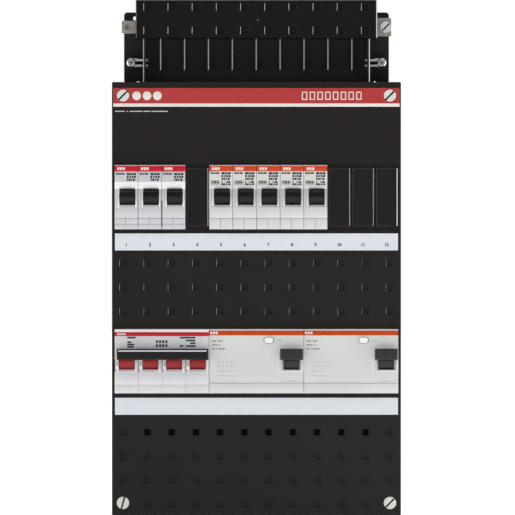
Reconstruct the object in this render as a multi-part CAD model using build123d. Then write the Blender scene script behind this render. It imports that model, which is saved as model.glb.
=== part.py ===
from build123d import *
import os

os.makedirs("parts", exist_ok=True)

# Frame: millimetres, +Z up, the front faces -Y.
# The origin is the centre of the rear face that lies against the wall.
# Distances called "depth" are measured forward from that wall face.

# ---- enclosure -------------------------------------------------------------
SIDE_MARGIN = 2.0        # box and cover beside the outermost module
BOARD_H = 330.0          # height of box and cover
WALL = 1.5               # side wall of box and cover
FLOOR = 2.5              # rear wall of the box
BOX_DEPTH = 50.0         # depth of the open box
COVER_RISE = 12.5        # cover face ahead of the box's front edge
COVER_PLATE = 2.5        # thickness of the cover's front plate
COVER_GAP = 0.3          # joint line between box and cover
CORNER_R = 1.0           # rounding of the upright corners
RUN_FIT = 0.35           # clearance round anything that moves
BORE_FIT = 0.1           # clearance round a fixed screw

# ---- modular layout --------------------------------------------------------
MODULE = 18.0            # width of one module
MODULES = 12             # modules in a row
SIDE_GAP = 0.15          # air left at each side of a device
UPPER_Z = 77.3           # centre height of the upper device row
LOWER_Z = -47.5          # centre height of the lower device row
NOSE_H = 48.8            # height of a device nose
WINDOW_FIT = 0.6         # gap above and below a nose in its window
DEVICE_H = 85.0          # full height of a device
NOSE_PROUD = 5.5         # nose face ahead of the cover face
SHOULDER_GAP = 3.0       # air between shoulders and the cover's front plate
BACK_DEPTH = 13.0        # depth at the rear of a device

# ---- mounting rail ---------------------------------------------------------
RAIL_H = 35.0            # top-hat rail, overall height
RAIL_HAT = 27.0          # height of its channel
RAIL_D = 7.5             # depth of the profile
RAIL_T = 1.0             # sheet thickness
RAIL_FRONT = 18.0        # depth at the front of the flanges
RAIL_INSET = 2.0         # rail end to inner wall
RAIL_SCREW_IN = 20.0     # rail screw to the side of the box

# ---- toggles ---------------------------------------------------------------
TOGGLE_W = 11.4          # width of a lever
HUB_R = 6.0              # round hub of a lever
PIVOT_IN = 3.5           # lever pivot behind the nose face
LEVER_L = 9.0            # pivot to lever tip
LEVER_T = 3.0            # thickness of the lever
LEVER_UP = 38.0          # lever angle above level when on
PIN_R = 1.5              # pivot stub radius
PIN_L = 1.2              # pivot stub length
MCB_PIVOT_DZ = 0.3       # breaker pivot above the row centre
MCB_LEVER_X = 9.85       # lever centre from the left edge of a module
BAR_NEAR = 7.5           # tie bar, rear face ahead of the pivot
BAR_FAR = 12.5           # tie bar, front face ahead of the pivot
BAR_LOW = 1.1            # tie bar, lower edge above the pivot
BAR_HIGH = 9.5           # tie bar, upper edge above the pivot
SHAFT_R = 2.0            # common shaft of the main switch

# ---- terminals -------------------------------------------------------------
WIRE_R = 3.5             # wire entry
WIRE_DEPTH = 40.0        # depth of the wire entries
WIRE_L = 11.0            # length of a wire entry
CLAMP_R = 2.8            # shaft above a clamp screw
CLAMP_DZ = 36.0          # clamp screw from the row centre
CLAMP_HEAD_R = 2.4       # clamp screw head
CLAMP_DEPTH = 47.0       # depth at the front of the clamp screws
CLAMP_L = 6.0            # length of a clamp screw

# ---- residual current devices ---------------------------------------------
RCD_SHELL = 1.8          # shell thickness
RCD_SPLIT = 45.0         # depth of the joint between base and front
RCD_LEVER_X = 62.7       # lever centre from the device's left edge
RCD_BAR_W = 17.5         # width of the T-shaped grip
RCD_BUTTON_X = 45.4      # test button from the device's left edge
RCD_BUTTON_DZ = 15.9     # test button above the row centre
BUTTON_W = 6.9           # test button width
BUTTON_H = 4.6           # test button height
BUTTON_PROUD = 1.6       # test button above the face
BUTTON_TRAVEL = 1.3      # test button stroke
TOROID_R = 15.0          # summation transformer, outer radius
TOROID_BORE_R = 8.0      # summation transformer, bore
TOROID_L = 15.0          # summation transformer, length
CONTACT_TRAVEL = 3.0     # stroke of the contact carrier
GUIDE_R = 2.0            # guide pins of the contact carrier

# ---- cover furniture -------------------------------------------------------
SCREW_IN = 8.4           # cover screw to the side of the cover
SCREW_DOWN = 10.3        # upper cover screws below the cover's upper edge
SCREW_UP = 9.6           # lower cover screws above the cover's lower edge
SCREW_HEAD_R = 4.7       # quarter-turn screw head
SCREW_HEAD_T = 3.0       # head thickness
SCREW_PROUD = 1.1        # head above the cover
SCREW_SHANK_R = 2.5      # shank radius
SCREW_SHANK_L = 18.0     # shank length
SCREW_SLOT_W = 1.3       # driver slot
SCREW_BOSS_R = 7.0       # boss behind the cover
POST_RISE = 3.0          # end of the box post ahead of the box's front edge
HEADER_DOWN = 4.6        # header band below the cover's upper edge
HEADER_H = 14.2          # height of the header band
HEADER_T = 0.8           # thickness of the header band
STRIP_IN = 2.3           # end of a label strip to the side of the cover
STRIP_H = 12.9           # label strip height
STRIP_T = 1.4            # label strip thickness
UPPER_STRIP_GAP = 2.6    # upper strip below its window
LOWER_STRIP_GAP = 2.85   # lower strip below its window
KNOCK_W = 5.1            # square knockout
KNOCK_DEEP = 1.4         # its depth
KNOCK_SPREAD = 0.45      # column pitch beyond the module pitch
UPPER_KNOCK_DOWN = (16.15, 34.45, 52.85)         # rows below the upper strip's centre
LOWER_KNOCK_DOWN = (19.8, 38.3, 56.5, 74.8)      # rows below the lower strip's centre
BLANK_H = 43.8           # raised field of a blank
BLANK_PROUD = 1.0        # its height above the cover
BLANKS = (4, 10, 11, 12)

# ---- conduit entry ---------------------------------------------------------
LUG_IN = 8.2             # side of the rear plate to the side of the box
LUG_RISE = 54.8          # its upper edge above the box
LUG_T = 3.0              # its thickness
LUG_HOLE_R = 1.5         # hanging hole in the upper left corner
LUG_HOLE_IN = 8.4        # hanging hole to the plate's side
LUG_HOLE_DOWN = 4.6      # hanging hole below the upper edge
LUG_NOTCH_R = 1.8        # round notches in the lower edge
LUG_NOTCH_IN = 10.8      # notch to the plate's side
COMB_IN = 5.5            # side of the comb to the side of the hood
COMB_RISE = 33.6         # comb above the box
COMB_BACK = 20.0         # depth at the rear of the comb plate
COMB_T = 3.0             # thickness of the comb plate
RIB_T = 1.2              # thickness of a rib
RIB_PITCH = 18.25        # rib to rib, one conduit between
RIBS = 9                 # number of ribs
RIB_CLEAR = 9.3          # lower end of the ribs above the box
RIB_SHORT = 3.5          # rib fronts behind the hood's face
HOOD_IN = 9.7            # side of the hood to the side of the rear plate
HOOD_GAP = 0.3           # hood above the comb
HOOD_H = 29.1            # height of the hood
HOOD_DEPTH = 47.5        # depth at its face
HOOD_T = 2.0             # its wall
HOOD_KNOCK_W = 5.5       # square knockout in the hood
HOOD_KNOCK_UP = (5.8, 23.7)                      # rows above the hood's lower edge
CONDUIT_R = 8.2          # holes for 16 mm conduit
CONDUIT_DEPTH = 34.0     # conduit centre line
CLIP_OUT = 9.3           # clip screw beyond the side of the comb
CLIP_RISE = 15.6         # clip screw above the box
CLIP_T = 1.5             # clip thickness
PRONG_W = 1.5            # each of the clip's two prongs
CLIP_HEAD_R = 3.45       # clip screw head
BRACKET_DOWN = 11.6      # earthing brackets below the rear plate's upper edge
BRACKET_PAST = 1.6       # bracket beyond the side of the rear plate
BRACKET_HOLE_IN = 4.1    # earth screw to the bracket's outer end
BRACKET_D = 11.0         # depth of a bracket

# ---- wall fixing and inner bars ---------------------------------------------
WALL_HOLE_IN = 30.0      # wall screw to the sides of the box
WALL_HOLE_R = 2.6        # wall screw hole
EARTH_BAR_UP = 43.0      # earth bar above the box's lower edge
EARTH_BAR_L = 120.0      # its length
EARTH_BAR_DEPTH = 14.0   # depth at the rear of the earth bar

# ---- derived ----------------------------------------------------------------
HALF_W = MODULE * MODULES / 2 + SIDE_MARGIN
HALF_H = BOARD_H / 2
ROW_LEFT = -MODULE * MODULES / 2
WINDOW_H = NOSE_H + 2 * WINDOW_FIT
COVER_DEPTH = BOX_DEPTH + COVER_RISE
NOSE_DEPTH = COVER_DEPTH + NOSE_PROUD
SHOULDER_DEPTH = COVER_DEPTH - COVER_PLATE - SHOULDER_GAP
PIVOT_DEPTH = NOSE_DEPTH - PIVOT_IN
SCREW_X = HALF_W - SCREW_IN
SCREW_TOP_Z = HALF_H - SCREW_DOWN
SCREW_LOW_Z = -HALF_H + SCREW_UP
SCREW_BOSS_DEPTH = BOX_DEPTH + POST_RISE
RAIL_SCREW_X = HALF_W - RAIL_SCREW_IN
HEADER_TOP = HALF_H - HEADER_DOWN
STRIP_W = 2 * (HALF_W - STRIP_IN)
UPPER_STRIP_Z = UPPER_Z - WINDOW_H / 2 - UPPER_STRIP_GAP - STRIP_H / 2
LOWER_STRIP_Z = LOWER_Z - WINDOW_H / 2 - LOWER_STRIP_GAP - STRIP_H / 2
KNOCK_PITCH = MODULE + KNOCK_SPREAD
UPPER_KNOCK_Z = [UPPER_STRIP_Z - down for down in UPPER_KNOCK_DOWN]
LOWER_KNOCK_Z = [LOWER_STRIP_Z - down for down in LOWER_KNOCK_DOWN]
LUG_W = 2 * (HALF_W - LUG_IN)
LUG_TOP = HALF_H + LUG_RISE
LUG_HOLE_X = LUG_W / 2 - LUG_HOLE_IN
LUG_NOTCH_X = LUG_W / 2 - LUG_NOTCH_IN
HOOD_W = LUG_W - 2 * HOOD_IN
COMB_W = HOOD_W - 2 * COMB_IN
COMB_TOP = HALF_H + COMB_RISE
COMB_DEPTH = HOOD_DEPTH - RIB_SHORT
RIB_FOOT = HALF_H + RIB_CLEAR
HOOD_LOW = COMB_TOP + HOOD_GAP
HOOD_TOP = HOOD_LOW + HOOD_H
HOOD_KNOCK_Z = [HOOD_LOW + up for up in HOOD_KNOCK_UP]
CLIP_X = COMB_W / 2 + CLIP_OUT
CLIP_Z = HALF_H + CLIP_RISE
BRACKET_Z = LUG_TOP - BRACKET_DOWN
BRACKET_OUT = LUG_W / 2 + BRACKET_PAST
BRACKET_HOLE_X = BRACKET_OUT - BRACKET_HOLE_IN
BRACKET_FACE = LUG_T + BRACKET_D
WALL_HOLE_X = HALF_W - WALL_HOLE_IN
WALL_HOLE_Z = HALF_H - WALL_HOLE_IN
EARTH_BAR_Z = -HALF_H + EARTH_BAR_UP
HUB_FIT_R = HUB_R + RUN_FIT
POCKET_W = TOGGLE_W + 2 * RUN_FIT
FIRST_WAY = (1, 2, 3)
SECOND_WAY = (5, 6, 7, 8, 9)
COLUMNS = [KNOCK_PITCH * (i - (MODULES - 1) / 2) for i in range(MODULES)]


def block(x0, x1, near, far, z0, z1):
    """Box between two widths, two depths (forward of the wall) and two heights."""
    centre = Pos((x0 + x1) / 2, -(near + far) / 2, (z0 + z1) / 2)
    return centre * Box(abs(x1 - x0), abs(far - near), abs(z1 - z0))


def rod_x(radius, x0, x1, depth, z):
    """Cylinder along X."""
    return Pos((x0 + x1) / 2, -depth, z) * Rot(0, 90, 0) * Cylinder(radius, abs(x1 - x0))


def rod_y(radius, x, near, far, z):
    """Cylinder along the depth."""
    return Pos(x, -(near + far) / 2, z) * Rot(90, 0, 0) * Cylinder(radius, abs(far - near))


def rod_z(radius, x, depth, z0, z1):
    """Upright cylinder."""
    return Pos(x, -depth, (z0 + z1) / 2) * Cylinder(radius, abs(z1 - z0))


def oval_y(width, height, x, near, far, z):
    """Flat-sided oval running along the depth."""
    radius = height / 2
    reach = width / 2 - radius
    middle = block(x - reach, x + reach, near, far, z - radius, z + radius)
    return middle + rod_y(radius, x - reach, near, far, z) + rod_y(radius, x + reach, near, far, z)


def rounded(shape, radius):
    """Round the edges that run along the depth."""
    return fillet(shape.edges().filter_by(Axis.Y), radius)


def save(name, shape):
    export_step(shape, f"parts/{name}.step")


def group(solids):
    """Several separate solids kept as one node."""
    return Compound(children=list(solids))


def module_left(number):
    return ROW_LEFT + MODULE * (number - 1)


# ---- enclosure ----------------------------------------------------------------
def screw_places():
    return [
        ("top_left", -SCREW_X, SCREW_TOP_Z, 45),
        ("top_right", SCREW_X, SCREW_TOP_Z, 45),
        ("bottom_left", -SCREW_X, SCREW_LOW_Z, 75),
        ("bottom_right", SCREW_X, SCREW_LOW_Z, 45),
    ]


def conduit_places():
    return [RIB_PITCH * (i - (RIBS - 2) / 2) for i in range(RIBS - 1)]


def rail_screw_places():
    return [(x, z) for z in (UPPER_Z, LOWER_Z) for x in (-RAIL_SCREW_X, RAIL_SCREW_X)]


def make_back_box():
    outer = rounded(block(-HALF_W, HALF_W, 0, BOX_DEPTH, -HALF_H, HALF_H), CORNER_R)
    inner = block(-HALF_W + WALL, HALF_W - WALL, FLOOR, BOX_DEPTH + 1, -HALF_H + WALL, HALF_H - WALL)
    box = outer - inner
    rail_back = RAIL_FRONT - RAIL_D
    for x, z in rail_screw_places():
        box += block(x - 9, x + 9, FLOOR - 0.5, rail_back, z - 12, z + 12)
        box -= rod_y(2.0 + BORE_FIT, x, FLOOR + 1, rail_back + 1, z)
    post_end = SCREW_BOSS_DEPTH - COVER_GAP
    for _, x, z, _ in screw_places():
        box += rod_y(SCREW_SHANK_R + 2.5, x, FLOOR - 0.5, post_end, z)
        box -= rod_y(SCREW_SHANK_R + RUN_FIT, x, post_end - SCREW_SHANK_L, post_end + 1, z)
    for x in (-EARTH_BAR_L / 2 + 10, EARTH_BAR_L / 2 - 10):
        box += block(x - 5, x + 5, FLOOR - 0.5, EARTH_BAR_DEPTH, EARTH_BAR_Z - 5, EARTH_BAR_Z + 5)
    cuts = [rod_z(CONDUIT_R, x, CONDUIT_DEPTH, HALF_H - 3, HALF_H + 1) for x in conduit_places()]
    for x in (-WALL_HOLE_X, WALL_HOLE_X):
        for z in (-WALL_HOLE_Z, WALL_HOLE_Z):
            cuts.append(rod_y(WALL_HOLE_R, x, -1, FLOOR + 1, z))
    return box - cuts


def make_front_cover():
    rear = BOX_DEPTH + COVER_GAP
    outer = rounded(block(-HALF_W, HALF_W, rear, COVER_DEPTH, -HALF_H, HALF_H), CORNER_R)
    plate_back = COVER_DEPTH - COVER_PLATE
    inner = block(-HALF_W + WALL, HALF_W - WALL, rear - 1, plate_back, -HALF_H + WALL, HALF_H - WALL)
    cover = outer - inner
    for _, x, z, _ in screw_places():
        cover += rod_y(SCREW_BOSS_R, x, SCREW_BOSS_DEPTH, plate_back + 0.5, z)
        cover -= rod_y(SCREW_HEAD_R + RUN_FIT, x, head_back() - RUN_FIT, COVER_DEPTH + 1, z)
        cover -= rod_y(SCREW_SHANK_R + RUN_FIT, x, SCREW_BOSS_DEPTH - 1, COVER_DEPTH, z)
    half_window = MODULE * MODULES / 2 + 0.1
    cuts = []
    for z in (UPPER_Z, LOWER_Z):
        cuts.append(block(-half_window, half_window, plate_back - 1, COVER_DEPTH + 1,
                          z - WINDOW_H / 2, z + WINDOW_H / 2))
    for z in UPPER_KNOCK_Z + LOWER_KNOCK_Z:
        for x in COLUMNS:
            beside_screw = z == LOWER_KNOCK_Z[-1] and abs(x) > SCREW_X - KNOCK_PITCH / 2
            if not beside_screw:
                cuts.append(knockout(x, z, KNOCK_W, COVER_DEPTH, KNOCK_DEEP))
    return cover - cuts


def knockout(x, z, width, face, deep):
    return block(x - width / 2, x + width / 2, face - deep, face + 1, z - width / 2, z + width / 2)


def head_back():
    return COVER_DEPTH + SCREW_PROUD - SCREW_HEAD_T


def make_cover_screw(x, z, slot_angle):
    front = COVER_DEPTH + SCREW_PROUD
    head = rod_y(SCREW_HEAD_R, x, head_back(), front, z)
    head = chamfer(head.edges().group_by(Axis.Y)[0], 0.5)
    screw = head + rod_y(SCREW_SHANK_R, x, head_back() - SCREW_SHANK_L + 3, head_back() + 0.5, z)
    slot = Rot(0, -slot_angle, 0) * Box(2 * SCREW_HEAD_R + 1, 2.4, SCREW_SLOT_W)
    return screw - Pos(x, -front, z) * slot


def make_header_band():
    band = block(-HALF_W + 1, HALF_W - 1, COVER_DEPTH, COVER_DEPTH + HEADER_T,
                 HEADER_TOP - HEADER_H, HEADER_TOP)
    for x in (-SCREW_X, SCREW_X):
        band -= rod_y(SCREW_HEAD_R + RUN_FIT, x, COVER_DEPTH - 1, COVER_DEPTH + HEADER_T + 1, SCREW_TOP_Z)
    return band


def make_label_strip(z):
    return block(-STRIP_W / 2, STRIP_W / 2, COVER_DEPTH, COVER_DEPTH + STRIP_T, z - STRIP_H / 2, z + STRIP_H / 2)


def make_blank(number):
    left = module_left(number) + SIDE_GAP
    right = left + MODULE - 2 * SIDE_GAP
    half = WINDOW_H / 2 - 0.2
    back = COVER_DEPTH - COVER_PLATE
    blank = block(left, right, back, COVER_DEPTH - 0.5, UPPER_Z - half, UPPER_Z + half)
    blank += block(left + 1, right - 0.4, COVER_DEPTH - 1, COVER_DEPTH + BLANK_PROUD,
                   UPPER_Z - BLANK_H / 2, UPPER_Z + BLANK_H / 2)
    for side in (-1, 1):
        edge = UPPER_Z + side * half
        blank += block(left + 3, right - 3, back - 4, back + 1, edge - side * 1.2, edge)
        blank += block(left + 3, right - 3, back - 2.5, back, edge - side * 1.2, edge + side * 1.2)
    return blank


# ---- rails --------------------------------------------------------------------
def make_rail(z):
    half = HALF_W - WALL - RAIL_INSET
    back = RAIL_FRONT - RAIL_D
    rail = block(-half, half, back, RAIL_FRONT, z - RAIL_HAT / 2, z + RAIL_HAT / 2)
    rail += block(-half, half, RAIL_FRONT - RAIL_T, RAIL_FRONT, z - RAIL_H / 2, z + RAIL_H / 2)
    inner = RAIL_HAT / 2 - RAIL_T
    rail -= block(-half - 1, half + 1, back + RAIL_T, RAIL_FRONT + 1, z - inner, z + inner)
    holes = [rod_y(2.0 + BORE_FIT, x, back - 1, back + RAIL_T + 1, z) for x in (-RAIL_SCREW_X, RAIL_SCREW_X)]
    return rail - holes


def make_rail_screw(x, z):
    seat = RAIL_FRONT - RAIL_D + RAIL_T
    screw = rod_y(4.2, x, seat, seat + 2.4, z) + rod_y(2.0, x, FLOOR + 1.5, seat + 0.5, z)
    return screw - block(x - 5, x + 5, seat + 1.4, seat + 3, z - 0.6, z + 0.6)


# ---- device bodies ---------------------------------------------------------------
def rail_seat(x0, x1, z):
    """Space for the rail behind a device."""
    half = RAIL_H / 2 + 0.2
    seat = block(x0 - 1, x1 + 1, BACK_DEPTH - 1, RAIL_FRONT, z - half, z + half)
    for side in (-1, 1):
        edge = z + side * half
        hook = block(x0 - 2, x1 + 2, BACK_DEPTH - 2, RAIL_FRONT - RAIL_T - 0.2, edge - side * 2, edge + side)
        seat -= hook
    return seat


def terminal_cuts(left, count, z):
    cuts = []
    for i in range(count):
        x = left + MODULE * (i + 0.5)
        for side in (-1, 1):
            end = z + side * DEVICE_H / 2
            cuts.append(rod_z(WIRE_R, x, WIRE_DEPTH, end - side * WIRE_L, end + side))
            cuts.append(rod_y(CLAMP_R, x, CLAMP_DEPTH - CLAMP_L, SHOULDER_DEPTH + 1, z + side * CLAMP_DZ))
    return cuts


def device_block(left, count, z):
    x0 = left + SIDE_GAP
    x1 = left + MODULE * count - SIDE_GAP
    body = block(x0, x1, BACK_DEPTH, SHOULDER_DEPTH, z - DEVICE_H / 2, z + DEVICE_H / 2)
    nose = block(x0, x1, SHOULDER_DEPTH - 1, NOSE_DEPTH, z - NOSE_H / 2, z + NOSE_H / 2)
    nose = chamfer(nose.faces().sort_by(Axis.Y)[0].edges().filter_by(Axis.X), 0.6)
    return body + nose - rail_seat(x0, x1, z)


def hub_pocket(x, pivot_z):
    """Round pocket, shallow surround and pin seats for one lever."""
    half = POCKET_W / 2
    pin = half + PIN_L
    cuts = rod_x(HUB_FIT_R, x - half, x + half, PIVOT_DEPTH, pivot_z)
    cuts += rod_x(PIN_R + RUN_FIT, x - pin, x + pin, PIVOT_DEPTH, pivot_z)
    cuts += block(x - half, x + half, PIVOT_DEPTH, NOSE_DEPTH + 1, pivot_z - HUB_FIT_R, pivot_z + HUB_FIT_R)
    cuts += block(x - half - 1, x + half + 1, NOSE_DEPTH - 1, NOSE_DEPTH + 1,
                  pivot_z - HUB_FIT_R - 1.5, pivot_z + HUB_FIT_R + 1.5)
    return cuts


def make_mcb_housing(number):
    left = module_left(number)
    housing = device_block(left, 1, UPPER_Z)
    housing -= hub_pocket(left + MCB_LEVER_X, UPPER_Z + MCB_PIVOT_DZ)
    return housing - terminal_cuts(left, 1, UPPER_Z)


# ---- levers -----------------------------------------------------------------------
def lever_blade(x, pivot_z, width):
    blade = Pos(0, -LEVER_L / 2, 0) * Box(width, LEVER_L, LEVER_T)
    blade = fillet(blade.faces().sort_by(Axis.Y)[0].edges().filter_by(Axis.X), 1.2)
    return Pos(x, -PIVOT_DEPTH, pivot_z) * Rot(-LEVER_UP, 0, 0) * blade


def lever_hub(x, pivot_z, width):
    return rod_x(HUB_R, x - width / 2, x + width / 2, PIVOT_DEPTH, pivot_z)


def grip_bar(x0, x1, pivot_z):
    bar = block(x0, x1, PIVOT_DEPTH + BAR_NEAR, PIVOT_DEPTH + BAR_FAR, pivot_z + BAR_LOW, pivot_z + BAR_HIGH)
    return fillet(bar.faces().sort_by(Axis.Y)[0].edges(), 1.2)


def make_mcb_toggle(number):
    x = module_left(number) + MCB_LEVER_X
    z = UPPER_Z + MCB_PIVOT_DZ
    pin = TOGGLE_W / 2 + PIN_L
    pins = rod_x(PIN_R, x - pin, x + pin, PIVOT_DEPTH, z)
    return lever_hub(x, z, TOGGLE_W) + lever_blade(x, z, TOGGLE_W) + pins


# ---- main switch --------------------------------------------------------------------
def main_lever_places():
    return [ROW_LEFT + MODULE * i + MCB_LEVER_X - 0.5 for i in range(4)]


def make_main_housing():
    housing = device_block(ROW_LEFT, 4, LOWER_Z)
    levers = main_lever_places()
    for x in levers:
        housing -= hub_pocket(x, LOWER_Z)
    housing -= rod_x(SHAFT_R + RUN_FIT, levers[0], levers[-1], PIVOT_DEPTH, LOWER_Z)
    for left in [ROW_LEFT + MODULE * i for i in range(1, 4)]:
        housing -= block(left - 0.2, left + 0.2, NOSE_DEPTH - 0.8, NOSE_DEPTH + 1,
                         LOWER_Z - NOSE_H, LOWER_Z + NOSE_H)
    return housing - terminal_cuts(ROW_LEFT, 4, LOWER_Z)


def make_main_handle():
    levers = main_lever_places()
    pin = TOGGLE_W / 2 + PIN_L
    handle = rod_x(SHAFT_R, levers[0], levers[-1], PIVOT_DEPTH, LOWER_Z)
    handle += rod_x(PIN_R, levers[0] - pin, levers[-1] + pin, PIVOT_DEPTH, LOWER_Z)
    for x in levers:
        handle += lever_hub(x, LOWER_Z, TOGGLE_W)
        handle += lever_blade(x, LOWER_Z, TOGGLE_W)
    return handle


def make_tie_bar(handle):
    return grip_bar(ROW_LEFT + 1.8, ROW_LEFT + 4 * MODULE - 0.5, LOWER_Z) - handle


# ---- residual current device ------------------------------------------------------------
def guide_places(left):
    return [left + 8, left + 4 * MODULE - 8]


def carrier_z():
    return LOWER_Z - 18.5


def make_rcd_base(left):
    x0 = left + SIDE_GAP
    x1 = left + 4 * MODULE - SIDE_GAP
    base = block(x0, x1, BACK_DEPTH, RCD_SPLIT, LOWER_Z - DEVICE_H / 2, LOWER_Z + DEVICE_H / 2)
    base -= rail_seat(x0, x1, LOWER_Z)
    base -= block(x0 + RCD_SHELL, x1 - RCD_SHELL, RAIL_FRONT + RCD_SHELL, RCD_SPLIT + 1,
                  LOWER_Z - NOSE_H / 2, LOWER_Z + NOSE_H / 2)
    for x in guide_places(left):
        base += rod_y(GUIDE_R, x, RAIL_FRONT + 1, RCD_SPLIT + 8, carrier_z())
    return base - terminal_cuts(left, 4, LOWER_Z)


def make_rcd_front(left):
    x0 = left + SIDE_GAP
    x1 = left + 4 * MODULE - SIDE_GAP
    front = block(x0, x1, RCD_SPLIT, SHOULDER_DEPTH, LOWER_Z - DEVICE_H / 2, LOWER_Z + DEVICE_H / 2)
    nose = block(x0, x1, SHOULDER_DEPTH - 1, NOSE_DEPTH, LOWER_Z - NOSE_H / 2, LOWER_Z + NOSE_H / 2)
    front += chamfer(nose.faces().sort_by(Axis.Y)[0].edges().filter_by(Axis.X), 0.6)
    half = NOSE_H / 2 - RCD_SHELL
    face_back = NOSE_DEPTH - RCD_SHELL
    front -= block(x0 + RCD_SHELL, x1 - RCD_SHELL, RCD_SPLIT - 1, face_back, LOWER_Z - half, LOWER_Z + half)
    x = left + RCD_LEVER_X
    cheek = POCKET_W / 2 + 2 * PIN_L
    front += block(x - cheek, x + cheek, PIVOT_DEPTH - HUB_R, face_back + 0.5,
                   LOWER_Z - HUB_R - 1, LOWER_Z + HUB_R + 1)
    front -= hub_pocket(x, LOWER_Z)
    front -= block(x - POCKET_W / 2, x + POCKET_W / 2, PIVOT_DEPTH - HUB_R - 1, PIVOT_DEPTH,
                   LOWER_Z - HUB_FIT_R, LOWER_Z + HUB_FIT_R)
    bx = left + RCD_BUTTON_X
    bz = LOWER_Z + RCD_BUTTON_DZ
    front += oval_y(BUTTON_W + 2.6, BUTTON_H + 2.6, bx, NOSE_DEPTH - 0.5, NOSE_DEPTH + 0.5, bz)
    front -= oval_y(BUTTON_W + 2 * RUN_FIT, BUTTON_H + 2 * RUN_FIT, bx, face_back - 1, NOSE_DEPTH + 2, bz)
    return front - terminal_cuts(left, 4, LOWER_Z)


def make_rcd_toggle(left):
    x = left + RCD_LEVER_X
    pin = TOGGLE_W / 2 + PIN_L
    toggle = lever_hub(x, LOWER_Z, TOGGLE_W) + lever_blade(x, LOWER_Z, TOGGLE_W)
    toggle += rod_x(PIN_R, x - pin, x + pin, PIVOT_DEPTH, LOWER_Z)
    return toggle + grip_bar(x - RCD_BAR_W / 2, x + RCD_BAR_W / 2, LOWER_Z)


def make_test_button(left):
    x = left + RCD_BUTTON_X
    z = LOWER_Z + RCD_BUTTON_DZ
    flange_front = NOSE_DEPTH - RCD_SHELL - RUN_FIT
    front = NOSE_DEPTH + BUTTON_PROUD
    button = oval_y(BUTTON_W, BUTTON_H, x, flange_front - 0.5, front, z)
    button = fillet(button.faces().sort_by(Axis.Y)[0].edges(), 0.6)
    return button + oval_y(BUTTON_W + 2.4, BUTTON_H + 2.4, x, flange_front - 1.2, flange_front, z)


def make_toroid(left):
    x = left + TOROID_R + 5
    z = LOWER_Z + 5
    seat = RAIL_FRONT + RCD_SHELL
    ring = rod_y(TOROID_R, x, seat, seat + TOROID_L, z)
    ring = fillet(ring.edges().group_by(Axis.Y)[0], 2.0)
    return ring - rod_y(TOROID_BORE_R, x, seat - 1, seat + TOROID_L + 1, z)


def make_relay(left):
    seat = RAIL_FRONT + RCD_SHELL
    can = block(left + 42, left + 64, seat, seat + 14, LOWER_Z - 8, LOWER_Z + 12)
    can = fillet(can.edges().filter_by(Axis.Y), 1.5)
    return can + rod_y(1.2, left + 53, seat + 13, seat + 18, LOWER_Z + 2)


def make_contacts(left):
    z = carrier_z()
    near = RCD_SPLIT - 1
    carrier = block(left + 4, left + 4 * MODULE - 4, near, near + 5, z - 3.2, z + 3.2)
    for x in guide_places(left):
        carrier -= rod_y(GUIDE_R + RUN_FIT, x, near - 1, near + 6, z)
    for i in range(4):
        x = left + 15 + 14 * i
        carrier += block(x - 1.8, x + 1.8, near - 4, near + 0.5, z - 2.2, z + 2.2)
    return carrier


# ---- small metal parts ---------------------------------------------------------------
def terminal_screw(x, z):
    screw = rod_y(CLAMP_HEAD_R, x, CLAMP_DEPTH - CLAMP_L, CLAMP_DEPTH, z)
    return screw - block(x - 3, x + 3, CLAMP_DEPTH - 1, CLAMP_DEPTH + 1, z - 0.5, z + 0.5)


def make_terminal_screws():
    places = [(module_left(n) + MODULE / 2, UPPER_Z) for n in FIRST_WAY + SECOND_WAY]
    places += [(module_left(n) + MODULE / 2, LOWER_Z) for n in range(1, MODULES + 1)]
    screws = []
    for x, z in places:
        screws.append(terminal_screw(x, z + CLAMP_DZ))
        screws.append(terminal_screw(x, z - CLAMP_DZ))
    return group(screws)


def make_comb_busbar():
    end = UPPER_Z - DEVICE_H / 2
    left = module_left(FIRST_WAY[0]) + 5
    right = module_left(SECOND_WAY[-1]) + MODULE - 5
    bar = block(left, right, WIRE_DEPTH - 0.75, WIRE_DEPTH + 5, end - 8, end - 3)
    for n in FIRST_WAY + SECOND_WAY:
        x = module_left(n) + MODULE / 2
        bar += block(x - 3.1, x + 3.1, WIRE_DEPTH - 0.75, WIRE_DEPTH + 0.75, end - 4, end + 8)
    return bar


def make_earth_bar():
    half = EARTH_BAR_L / 2
    bar = block(-half, half, EARTH_BAR_DEPTH, EARTH_BAR_DEPTH + 9, EARTH_BAR_Z - 4, EARTH_BAR_Z + 4)
    cuts = []
    for i in range(12):
        x = -half + 10 + i * (EARTH_BAR_L - 20) / 11
        cuts.append(rod_z(2.4, x, EARTH_BAR_DEPTH + 4.5, EARTH_BAR_Z - 5, EARTH_BAR_Z + 5))
        cuts.append(rod_y(1.8, x, EARTH_BAR_DEPTH + 5, EARTH_BAR_DEPTH + 10, EARTH_BAR_Z))
    return bar - cuts


# ---- conduit entry -----------------------------------------------------------------------
def make_entry_frame():
    plate = block(-LUG_W / 2, LUG_W / 2, 0, LUG_T, HALF_H, LUG_TOP)
    plate = rounded(plate, 2.5)
    for side in (-1, 1):
        x = side * CLIP_X
        plate += rod_y(4.6, x, LUG_T - 0.5, COMB_BACK + COMB_T, CLIP_Z)
        plate -= rod_y(1.6 + BORE_FIT, x, LUG_T, COMB_BACK + COMB_T + 1, CLIP_Z)
        plate -= rod_y(LUG_NOTCH_R, side * LUG_NOTCH_X, -1, LUG_T + 1, HALF_H)
    return plate - rod_y(LUG_HOLE_R, -LUG_HOLE_X, -1, LUG_T + 1, LUG_TOP - LUG_HOLE_DOWN)


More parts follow.
